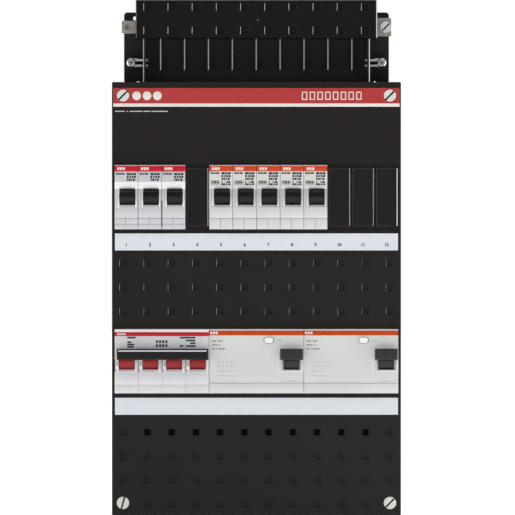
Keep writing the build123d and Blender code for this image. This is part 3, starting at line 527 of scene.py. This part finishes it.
def breaker_gaps():
    """Painted shade in the air between the first three breakers: a narrow grey strip at 1-2, a wide dark one
    at 2-3.
    """
    for number, wide, rise, ink in ((2, 0.55 * MM, 22.3 * MM, MID_INK), (3, 0.8 * MM, 21.7 * MM, DARK_INK)):
        left, _, bottom, _ = nose(f"mcb_{number}_housing")
        middle = left - 0.15 * MM
        strip = plate(middle - wide / 2, middle + wide / 2, bottom + 1.6 * MM, bottom + rise,
                      NOSE_FACE, 0.3 * MM, 0.03 * MM)
        nose_piece(strip, f"mcb_{number}_gap", ink)


for number in FIRST_WAY:
    breaker_details(number, True)
breaker_gaps()
for number in SECOND_WAY:
    breaker_details(number, False)


# ---- label numbers ------------------------------------------------------------------------------
NUMERAL_H = 3.3 * MM
NUMERAL_UP = 3.2 * MM                 # baseline above the strip's lower edge
WINDOW_IN = 2 * MM                    # first module from the cover's left edge
strip_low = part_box("upper_label_strip")[0]


def numeral(value, x):
    """A printed way number on the upper strip."""
    deselect()
    bpy.ops.object.text_add(location=(x, strip_low.y, strip_low.z + NUMERAL_UP), rotation=(math.pi / 2, 0, 0))
    obj = bpy.context.object
    obj.data.body = str(value)
    obj.data.size = NUMERAL_H
    obj.data.align_x = "CENTER"
    obj.data.extrude = 0.03 * MM
    obj.data.offset = 0.14 * MM
    obj.data.resolution_u = 4
    deselect()
    obj.select_set(True)
    bpy.context.view_layer.objects.active = obj
    bpy.ops.object.convert(target="MESH")
    finish_piece(bpy.context.object, f"way_number_{value}", DARK_INK, "board")


for way in range(1, 13):
    numeral(way, cover_low.x + WINDOW_IN + (way - 0.5) * MODULE)


# ---- residual current devices ----------------------------------------------------------------------
RCD_JOINT_UP = 7.6 * MM               # joint of the terminal cover above the nose's lower edge
RCD_TYPE_ROWS = [[(3.6, 1.2), (3.4, 0)], [(4.6, 1.2), (1.0, 0)], [(2.6, 0.8), (0.8, 0.6), (5.4, 0)]]
CIRCUIT_ROWS = [[(13.6, 0)], [(2.4, 1.2), (2.4, 1.2), (2.4, 1.2), (2.4, 0)],
                [(9.0, 3.2), (3.6, 0)], [(12.6, 0)]]
LEVER_WORD_ROWS = [[(2.6, 0.5), (4.2, 0.5), (3.0, 0.5), (3.2, 0)]]
POLES = 4


def rcd_print(tag, left, top):
    """The type print, and the pale wiring diagram: rows of bars with one upright for each pole."""
    strong = print_rows(left + 1.8 * MM, top - 8.4 * MM, RCD_TYPE_ROWS, 1.1 * MM, 3.0 * MM, NOSE_FACE)
    nose_piece(strong, f"{tag}_print", SOFT_INK)
    pale = print_rows(left + 5.6 * MM, top - 24.6 * MM, CIRCUIT_ROWS, 0.5 * MM, 3.5 * MM, NOSE_FACE)
    nose_piece(pale, f"{tag}_print_pale", PALE_INK)
    uprights = []
    for pole in range(POLES):
        x = left + (7.0 + 3.2 * pole) * MM
        uprights.append(slab(x, x + 0.25 * MM, top - 33.0 * MM, top - 25.4 * MM,
                             NOSE_FACE - INK, NOSE_FACE + INK))
    nose_piece(join(uprights), f"{tag}_circuit_drawing", PALE_INK)


def rcd_button_outline(tag, x, z):
    """The dark oval ring round the test button: painted shade in the narrow gap round it."""
    deselect()
    bpy.ops.mesh.primitive_torus_add(major_segments=48, minor_segments=8, major_radius=1 * MM,
                                     minor_radius=0.07 * MM, location=(x, NOSE_FACE - 0.5 * MM, z),
                                     rotation=(math.pi / 2, 0, 0))
    outline = bpy.context.object
    outline.scale = (3.75, 2.62, 1.2)
    nose_piece(smooth(settle(outline)), f"{tag}_button_gap_shade", DARK_INK)


def rcd_details(number):
    tag = f"rcd_{number}"
    left, right, bottom, top = nose(f"{tag}_front")
    lever_low, lever_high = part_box(f"{tag}_toggle")
    button_low, button_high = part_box(f"{tag}_test_button")
    button_z = (button_low.z + button_high.z) / 2
    band = plate(left, right, top - 4.7 * MM, top - 1.1 * MM, NOSE_FACE, BAND, BAND_EDGE)
    nose_piece(band, f"{tag}_band", ORANGE_DEEP)
    band_mark(tag, left + 0.7 * MM, top - 1.9 * MM, 1.6, 0.5, 1.9 * MM, NOSE_FACE - BAND)
    # the terminal cover below, and a narrow shelf of the main face above the joint
    joint = bottom + RCD_JOINT_UP
    lower = plate(left, right, bottom + PAD_RISE, joint - 0.15 * MM, NOSE_FACE, PAD, PAD_EDGE)
    shelf = plate(left, right, joint + 0.25 * MM, joint + 1.2 * MM, NOSE_FACE, PAD, PAD_EDGE)
    nose_piece(join([lower, shelf]), f"{tag}_lower_face", DEVICE_GREY)
    rcd_print(tag, left, top)
    # the rim round the lever is low enough for the lever to pass over it
    surround = ring_frame(lever_low.x - 1.9 * MM, lever_high.x + 0.35 * MM,
                          bottom + 16.3 * MM, top - 15.5 * MM, 1.2 * MM, NOSE_FACE, 0.12 * MM, 0.04 * MM)
    nose_piece(surround, f"{tag}_lever_surround", RIM_GREY)
    line_face = NOSE_FACE - PAD + 0.1 * MM
    line = slab(left, right, joint - 0.15 * MM, joint + 0.25 * MM, line_face - INK, line_face + INK)
    nose_piece(line, f"{tag}_joint_line", SOFT_INK)
    rcd_button_outline(tag, (button_low.x + button_high.x) / 2, button_z)
    # word-length bars beside the button, above the lever and below it
    words = [print_rows(button_high.x + 1.6 * MM, button_z + 0.3 * MM, [[(3.6, 0)]], 0.9 * MM, MM, NOSE_FACE),
             print_rows(lever_low.x + 0.2 * MM, top - 11.9 * MM, LEVER_WORD_ROWS, 0.45 * MM, MM, NOSE_FACE),
             print_rows(lever_low.x + 4 * MM, bottom + 9.5 * MM, [[(8.5, 0)]], 0.5 * MM, MM, NOSE_FACE)]
    nose_piece(join(words), f"{tag}_small_print", PALE_INK)


rcd_details(1)
rcd_details(2)


# ---- main switch ------------------------------------------------------------------------------------
SWITCH_LEVER_IN = 9.2 * MM            # middle of a lever from its module's left edge
SWITCH_JOINT_UP = 6.4 * MM            # joint of the lower face above the nose's lower edge
SWITCH_LEFT_ROWS = [[(6.4, 0)], [], [(3.2, 0)], [(5.2, 0)], [(4.8, 0)]]
# a hair-thin bar opens a row that is set in from the left
SWITCH_RIGHT_ROWS = [[(12, 0)], [(0.01, 4.9), (7, 0)], [(0.01, 8), (4, 0)], [(2.6, 2.4), (7, 0)]]


def switch_print(left, top):
    """Two columns of print with a block of short upright bars between them."""
    first = top - 5.8 * MM
    left_column = print_rows(left + 9.6 * MM, first, SWITCH_LEFT_ROWS, 1.3 * MM, 1.75 * MM, NOSE_FACE)
    uprights = []
    for row in range(2):
        for column in range(4):
            x = left + (31.4 + 2.4 * column) * MM
            z = top - (8.4 + 3.0 * row) * MM
            uprights.append(slab(x, x + 1.6 * MM, z - 2.2 * MM, z, NOSE_FACE - INK, NOSE_FACE + INK))
    right_column = print_rows(left + 49.5 * MM, first, SWITCH_RIGHT_ROWS, 1.35 * MM, 2.1 * MM, NOSE_FACE)
    nose_piece(join([left_column, right_column] + uprights), "main_switch_print", DARK_INK)


def switch_window(number, pole_left, bottom):
    """The white oval window at a lever's left, the dark slit and dot beside it, and a dark strip of painted
    shade in the air gap beside it.
    """
    oval = disc(pole_left + 1.85 * MM, 0, 0.95 * MM, NOSE_FACE - 0.1 * MM, 0.25 * MM, 32, 0.06 * MM)
    select_faces(oval, lambda f: f.calc_center_median().z > 0)
    bpy.ops.transform.translate(value=(0, 0, 2.9 * MM))
    bpy.ops.object.mode_set(mode="OBJECT")
    oval.location.z = bottom + 19.5 * MM
    nose_piece(oval, f"main_switch_window_{number}", BAND_WHITE)
    slit = plate(pole_left + 1.55 * MM, pole_left + 2.15 * MM, bottom + 20.5 * MM, bottom + 23.1 * MM,
                 NOSE_FACE - 0.35 * MM, 0.04 * MM, 0.01 * MM)
    # the tie bar sweeps over the dot and the gap, so they lie nearly flush
    flush, flush_edge = 0.06 * MM, 0.02 * MM
    dot = disc(pole_left + 1.6 * MM, bottom + 17.5 * MM, 0.6 * MM, NOSE_FACE, flush, 24, flush_edge)
    # painted shade: the dark strip in the air gap between poles
    gap_left = pole_left + (-0.1 if number == 1 else 0.05) * MM
    gap = plate(gap_left, pole_left + 0.4 * MM, bottom + 16.3 * MM, bottom + 25.9 * MM,
                NOSE_FACE, flush, flush_edge)
    nose_piece(join([slit, dot, gap]), f"main_switch_window_{number}_dark", DARK_INK)


def main_switch_details():
    left, right, bottom, top = nose("main_switch_housing")
    band = plate(left, right, top - 5.3 * MM, top - 2.3 * MM, NOSE_FACE, BAND, BAND_EDGE)
    nose_piece(band, "main_switch_band", RED_INK)
    rim = plate(left, right, top - 2.2 * MM, top - 0.2 * MM, NOSE_FACE, 0.15 * MM, BAND_EDGE)
    nose_piece(rim, "main_switch_rim", RIM_GREY)
    band_mark("main_switch", left + 2 * MM, top - 3.2 * MM, 1.8, 0.5, 1.2 * MM, NOSE_FACE - BAND)
    switch_print(left, top)
    for pole in range(POLES):
        pole_left = left + pole * MODULE
        lever_x = pole_left + SWITCH_LEVER_IN
        surround = ring_frame(lever_x - 7.6 * MM, lever_x + 7.4 * MM, bottom + 15.9 * MM, top - 16.9 * MM,
                              0.8 * MM, NOSE_FACE, 0.2 * MM)
        nose_piece(surround, f"main_switch_surround_{pole + 1}", RIM_GREY)
        sides = [slab(x0, x1, bottom + 16.7 * MM, top - 18.5 * MM, NOSE_FACE - 0.08 * MM, NOSE_FACE + RECESS)
                 for x0, x1 in ((lever_x - FRAME_X, lever_x - OPEN_X), (lever_x + OPEN_X, lever_x + FRAME_X))]
        nose_piece(join(sides), f"main_switch_lever_frame_{pole + 1}", RIM_GREY)
        switch_window(pole + 1, pole_left, bottom)
    joint = bottom + SWITCH_JOINT_UP
    pads = []
    for pole in range(POLES):
        x0 = left + pole * MODULE + (0.3 * MM if pole else 0)
        x1 = right if pole == POLES - 1 else left + (pole + 1) * MODULE
        pads.append(plate(x0, x1, joint + JOINT / 2, bottom + 15.3 * MM, NOSE_FACE, PAD, PAD_EDGE))
        pads.append(plate(x0, x1, bottom + PAD_RISE, joint - JOINT / 2, NOSE_FACE, PAD, PAD_EDGE))
    nose_piece(join(pads), "main_switch_lower_face", DEVICE_COOL)


def tie_bar_stripe():
    """A pale film stripe along the tie bar, thin enough to stay inside the board's depth."""
    low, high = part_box("main_switch_tie_bar")
    stripe = plate(low.x + 1.2 * MM, high.x - 1.4 * MM, high.z - 2.1 * MM, high.z - 1.0 * MM,
                   low.y, 0.005 * MM, 0.002 * MM)
    finish_piece(stripe, "tie_bar_stripe", LABEL_GREY, "main_switch_lever")


main_switch_details()
tie_bar_stripe()


# ---- polished lips and edges that catch the side light ---------------------------------------
BLANK_BETWEEN = 4                     # the blank between breakers: its lip is lower, and pale with a painted reflection of the neighbouring breaker's side
BLANK_FIELD_H = 43.8 * MM             # height of a blank's raised field
RIB_PITCH = 18.25 * MM
RIBS = 9
KNOCK_PITCH = 18.45 * MM
KNOCK_COLUMNS = [KNOCK_PITCH * (i - 5.5) for i in range(12)]
HOOD_COLUMNS = [KNOCK_PITCH * (i - 4.5) for i in range(10)]
UPPER_KNOCK_DOWN = (16.15 * MM, 34.45 * MM, 52.85 * MM)     # rows below the upper strip's middle
LOWER_KNOCK_DOWN = (19.8 * MM, 38.3 * MM, 56.5 * MM)        # rows below the lower strip's middle
HOOD_KNOCK_DOWN = (23.3 * MM, 5.4 * MM)                     # rows below the hood's upper edge
KNOCK_HALF = 2.55 * MM
HOOD_KNOCK_HALF = 2.75 * MM
hood_low, hood_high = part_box("entry_hood")


def rows_below(node, downs):
    """Heights that lie the given distances below the middle of a node."""
    low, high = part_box(node)
    return [(low.z + high.z) / 2 - down for down in downs]


def blank_lips():
    """A bright lip down the right of each blank, and the pale outline of its raised field, which is a painted
    highlight. The blank between breakers has a lower, pale lip: a painted reflection of its neighbour.
    """
    for name in [n for n in NODES if n.startswith("blank")]:
        low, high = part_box(name)
        left, right = low.x + 1.0 * MM, high.x - 0.4 * MM
        middle = (low.z + high.z) / 2
        z0, z1 = middle - BLANK_FIELD_H / 2, middle + BLANK_FIELD_H / 2
        between_breakers = name == f"blank_{BLANK_BETWEEN:02d}"
        lip = ramp(right - 0.75 * MM, right, z0, z1, low.y, (0.25 if between_breakers else 0.7) * MM)
        outline = ((left, left + 0.3 * MM, z0, z1),
                   (left, right - 1.2 * MM, z0 - 0.1 * MM, z0 + 0.15 * MM),
                   (left, right - 1.2 * MM, z1 - 0.15 * MM, z1 + 0.1 * MM))
        lines = [slab(*span, low.y - 0.05 * MM, low.y + BURIED) for span in outline]
        # painted highlight: the pale lines along the raised field's left, top and bottom
        finish_piece(join(lines), f"{name}_field_edge", PAINTED_HIGHLIGHT_EDGE, "board")
        # the pale lip of the blank between breakers is a painted reflection
        finish_piece(lip, f"{name}_lip", PAINTED_REFLECTION_EDGE if between_breakers else EDGE_ABS, "board")


def clip_crosses():
    """A dark cross on each of the two clip screws: painted shade that stands for the cross recess."""
    low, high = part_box("entry_clip_screws")
    middle = (low.z + high.z) / 2
    bars = []
    for x in (low.x + 3.45 * MM, high.x - 3.45 * MM):
        for wide, tall in ((1.7 * MM, 0.3 * MM), (0.3 * MM, 1.7 * MM)):
            bars.append(slab(x - wide, x + wide, middle - tall, middle + tall, low.y - INK, low.y + 0.1 * MM))
    finish_piece(join(bars), "clip_screw_crosses", PAINTED_SHADE_DARK, "board")


def clip_prongs():
    """The bright rolled edges of the two spring clips."""
    low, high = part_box("entry_clips")
    length, thick = 6 * MM, 0.9 * MM
    bars = []
    for x0 in (low.x + 3.4 * MM, high.x - 3.4 * MM - length):
        for z0 in (low.z, high.z - thick):
            bars.append(slab(x0, x0 + length, z0, z0 + thick, low.y - 0.05 * MM, low.y + 0.5 * MM))
    finish_piece(smooth(bevel(join(bars), 0.2 * MM, 2)), "clip_prong_edges", TIN, "board")


def driver_slot(node, angle, size, inset, body):
    """A dark bar of painted shade that fills a screw's driver slot, turned by angle from level."""
    low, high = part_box(node)
    deselect()
    bpy.ops.mesh.primitive_cube_add(size=1, scale=size, rotation=(0, math.radians(-angle), 0),
                                    location=((low.x + high.x) / 2, low.y + inset, (low.z + high.z) / 2))
    finish_piece(bpy.context.object, f"{node}_slot", PAINTED_SHADE_DARK, body)


def slot_shadows():
    driver_slot("earth_screw", 45, (7.8 * MM, 0.8 * MM, 1.04 * MM), 0.7 * MM, "board")
    for place, angle in (("top_left", 45), ("top_right", 45), ("bottom_left", 75), ("bottom_right", 45)):
        driver_slot(f"cover_screw_{place}", angle, (9.0 * MM, 0.9 * MM, 1.26 * MM), 0.75 * MM,
                    f"screw_{place}")


def knockout_edges(name, columns, rows, half, face, wide):
    """Each square pocket has a polished lip at its left edge and a fainter one at its right."""
    lips = []
    for z in rows:
        for x in columns:
            lips.append(ramp(x - half - wide, x - half, z - half, z + half, face, wide * 0.75))
            lips.append(ramp(x + half + wide / 2, x + half, z - half, z + half, face, wide * 0.4))
    finish_piece(join(lips), name, EDGE_ABS, "board")


def knockout_floors():
    """A dark plate in each knockout of the lower field's first row, save the two outer ones: painted shade,
    so that these pockets read black.
    """
    half = 2.3 * MM
    z = rows_below("lower_label_strip", LOWER_KNOCK_DOWN[:1])[0]
    painted_shade_plates = [slab(x - half, x + half, z - half, z + half, COVER_FACE + 1.2 * MM, COVER_FACE + 1.39 * MM)
             for x in KNOCK_COLUMNS[1:-1]]
    finish_piece(join(painted_shade_plates), "cover_knockouts_painted_shade", PAINTED_SHADE_DARK, "board")


def entry_edges():
    """Both slopes of each rib of the comb, and the comb's two outer edges."""
    comb_low, comb_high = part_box("entry_comb")
    face = comb_low.y
    top = comb_high.z - 0.3 * MM
    rib_bottom, comb_bottom = comb_low.z + 9.5 * MM, comb_low.z + 0.5 * MM
    lips = []
    for rib in range(RIBS):
        x = (rib - RIBS // 2) * RIB_PITCH
        for side in (0.6 * MM, -0.6 * MM):
            lips.append(ramp(x + 0.1 * MM, x + side, rib_bottom, top, face, 0.5 * MM))
    for x, inward in ((comb_low.x, 0.7 * MM), (comb_high.x, -0.7 * MM)):
        lips.append(ramp(x + inward, x, comb_bottom, top, face, 0.6 * MM))
    finish_piece(join(lips), "entry_rib_edges", EDGE_ABS, "board")


def hood_edges():
    """The hood's two side edges, and the small moulding pip at its middle."""
    z0, z1 = hood_low.z + 0.1 * MM, hood_high.z - 0.1 * MM
    lips = [ramp(x + inward * 0.7 * MM, x + inward * 0.02 * MM, z0, z1, hood_low.y, 0.7 * MM)
            for x, inward in ((hood_low.x, 1), (hood_high.x, -1))]
    finish_piece(join(lips), "hood_side_edges", EDGE_ABS, "board")
    pip = disc(1.1 * MM, hood_high.z - 14.9 * MM, 1.0 * MM, hood_low.y, 0.3 * MM, 24, 0.1 * MM)
    finish_piece(pip, "hood_pip", EDGE_ABS, "board")


blank_lips()
clip_crosses()
clip_prongs()
slot_shadows()
knockout_edges("cover_knockout_edges_upper", KNOCK_COLUMNS, rows_below("upper_label_strip", UPPER_KNOCK_DOWN),
               KNOCK_HALF, COVER_FACE, 0.2 * MM)
knockout_edges("cover_knockout_edges_lower", KNOCK_COLUMNS, rows_below("lower_label_strip", LOWER_KNOCK_DOWN),
               KNOCK_HALF, COVER_FACE, 0.12 * MM)
knockout_floors()
knockout_edges("hood_knockout_edges", HOOD_COLUMNS, [hood_high.z - down for down in HOOD_KNOCK_DOWN],
               HOOD_KNOCK_HALF, hood_low.y, 0.36 * MM)
entry_edges()
hood_edges()


# ---- camera, floor and light ------------------------------------------------------------------------
FIELD_WIDTH = 0.3920                  # width of the view at the cover's face
CAMERA_DISTANCE = 6.0
SENSOR = 36.0
VIEW_RIGHT = 0.0008                   # the view's middle, right of the board's middle
VIEW_DOWN = 0.1336                    # and below the cover's upper edge
FLOOR_SIZE = 30
FLOOR_GLOW = 0.62                     # keeps the studio paper white all the way back
FRONT_DIM, BACK_BRIGHT = 0.22, 1.02   # the surroundings, seen from the board

camera_data = bpy.data.cameras.new("camera")
camera_data.sensor_width = SENSOR
camera_data.lens = SENSOR * CAMERA_DISTANCE / FIELD_WIDTH
camera_data.clip_end = 50
camera = bpy.data.objects.new("camera", camera_data)
bpy.context.scene.collection.objects.link(camera)
camera.location = (VIEW_RIGHT, COVER_FACE - CAMERA_DISTANCE, cover_high.z - VIEW_DOWN)
camera.rotation_euler = (math.pi / 2, 0, 0)
bpy.context.scene.camera = camera


def floor():
    """A sheet of white studio paper under the board."""
    deselect()
    bpy.ops.mesh.primitive_plane_add(size=FLOOR_SIZE, location=(0, 0, CAD_BOX[0][2]))
    sheet = settle(bpy.context.object)
    sheet.name = "floor"
    mat = bpy.data.materials.new("white_studio_paper")
    mat.use_nodes = True
    tree = mat.node_tree
    tree.nodes.clear()
    shader = add(tree, "ShaderNodeBsdfPrincipled", Roughness=0.9)
    shader.inputs["Base Color"].default_value = colour("#f4f4f4")
    shader.inputs["Emission Color"].default_value = colour("#ffffff")
    shader.inputs["Emission Strength"].default_value = FLOOR_GLOW
    add(tree, "ShaderNodeOutputMaterial", [(shader.outputs["BSDF"], "Surface")])
    sheet.data.materials.append(mat)


def soft_light(name, location, aim, size_x, size_y, power):
    """A rectangular soft box that faces a point."""
    data = bpy.data.lights.new(name, "AREA")
    data.shape = "RECTANGLE"
    data.size = size_x
    data.size_y = size_y
    data.energy = power
    lamp = bpy.data.objects.new(name, data)
    bpy.context.scene.collection.objects.link(lamp)
    lamp.location = location
    lamp.rotation_euler = (Vector(aim) - Vector(location)).to_track_quat("-Z", "Y").to_euler()


def studio_world():
    """Pale surroundings, a little darker in front of the board so that its black faces stay black."""
    world = bpy.data.worlds.new("studio")
    bpy.context.scene.world = world
    world.use_nodes = True
    tree = world.node_tree
    tree.nodes.clear()
    place = add(tree, "ShaderNodeTexCoord")
    parts = add(tree, "ShaderNodeSeparateXYZ", [(place.outputs["Generated"], "Vector")])
    shade = add(tree, "ShaderNodeMapRange", [(parts.outputs["Y"], "Value")], From_Min=-0.35, From_Max=0.6,
                To_Min=FRONT_DIM, To_Max=BACK_BRIGHT)
    back = add(tree, "ShaderNodeBackground", [(shade.outputs["Result"], "Strength")])
    back.inputs["Color"].default_value = (1, 1, 1, 1)
    add(tree, "ShaderNodeOutputWorld", [(back.outputs["Background"], "Surface")])


floor()
studio_world()
soft_light("key_low_right", (0.85, -1.05, -0.5), (0, 0, 0.0), 0.7, 0.7, 4.2)
soft_light("key_near", (0.2, -0.66, -0.28), (0.06, 0, -0.1), 0.3, 0.3, 1.5)
soft_light("top_soft", (0.2, -1.1, 1.5), (0, 0, 0.03), 1.2, 0.8, 5)
soft_light("wall_right", (1.35, -0.15, 0.03), (0, -0.06, 0.03), 0.6, 1.3, 18)
soft_light("wall_left", (-1.5, -0.3, 0.1), (0, -0.06, 0.03), 0.6, 1.2, 8)
soft_light("fill_left", (-1.4, -1.3, 0.2), (0, 0, 0.03), 1.0, 1.2, 4)
bpy.context.scene.view_settings.view_transform = "Standard"
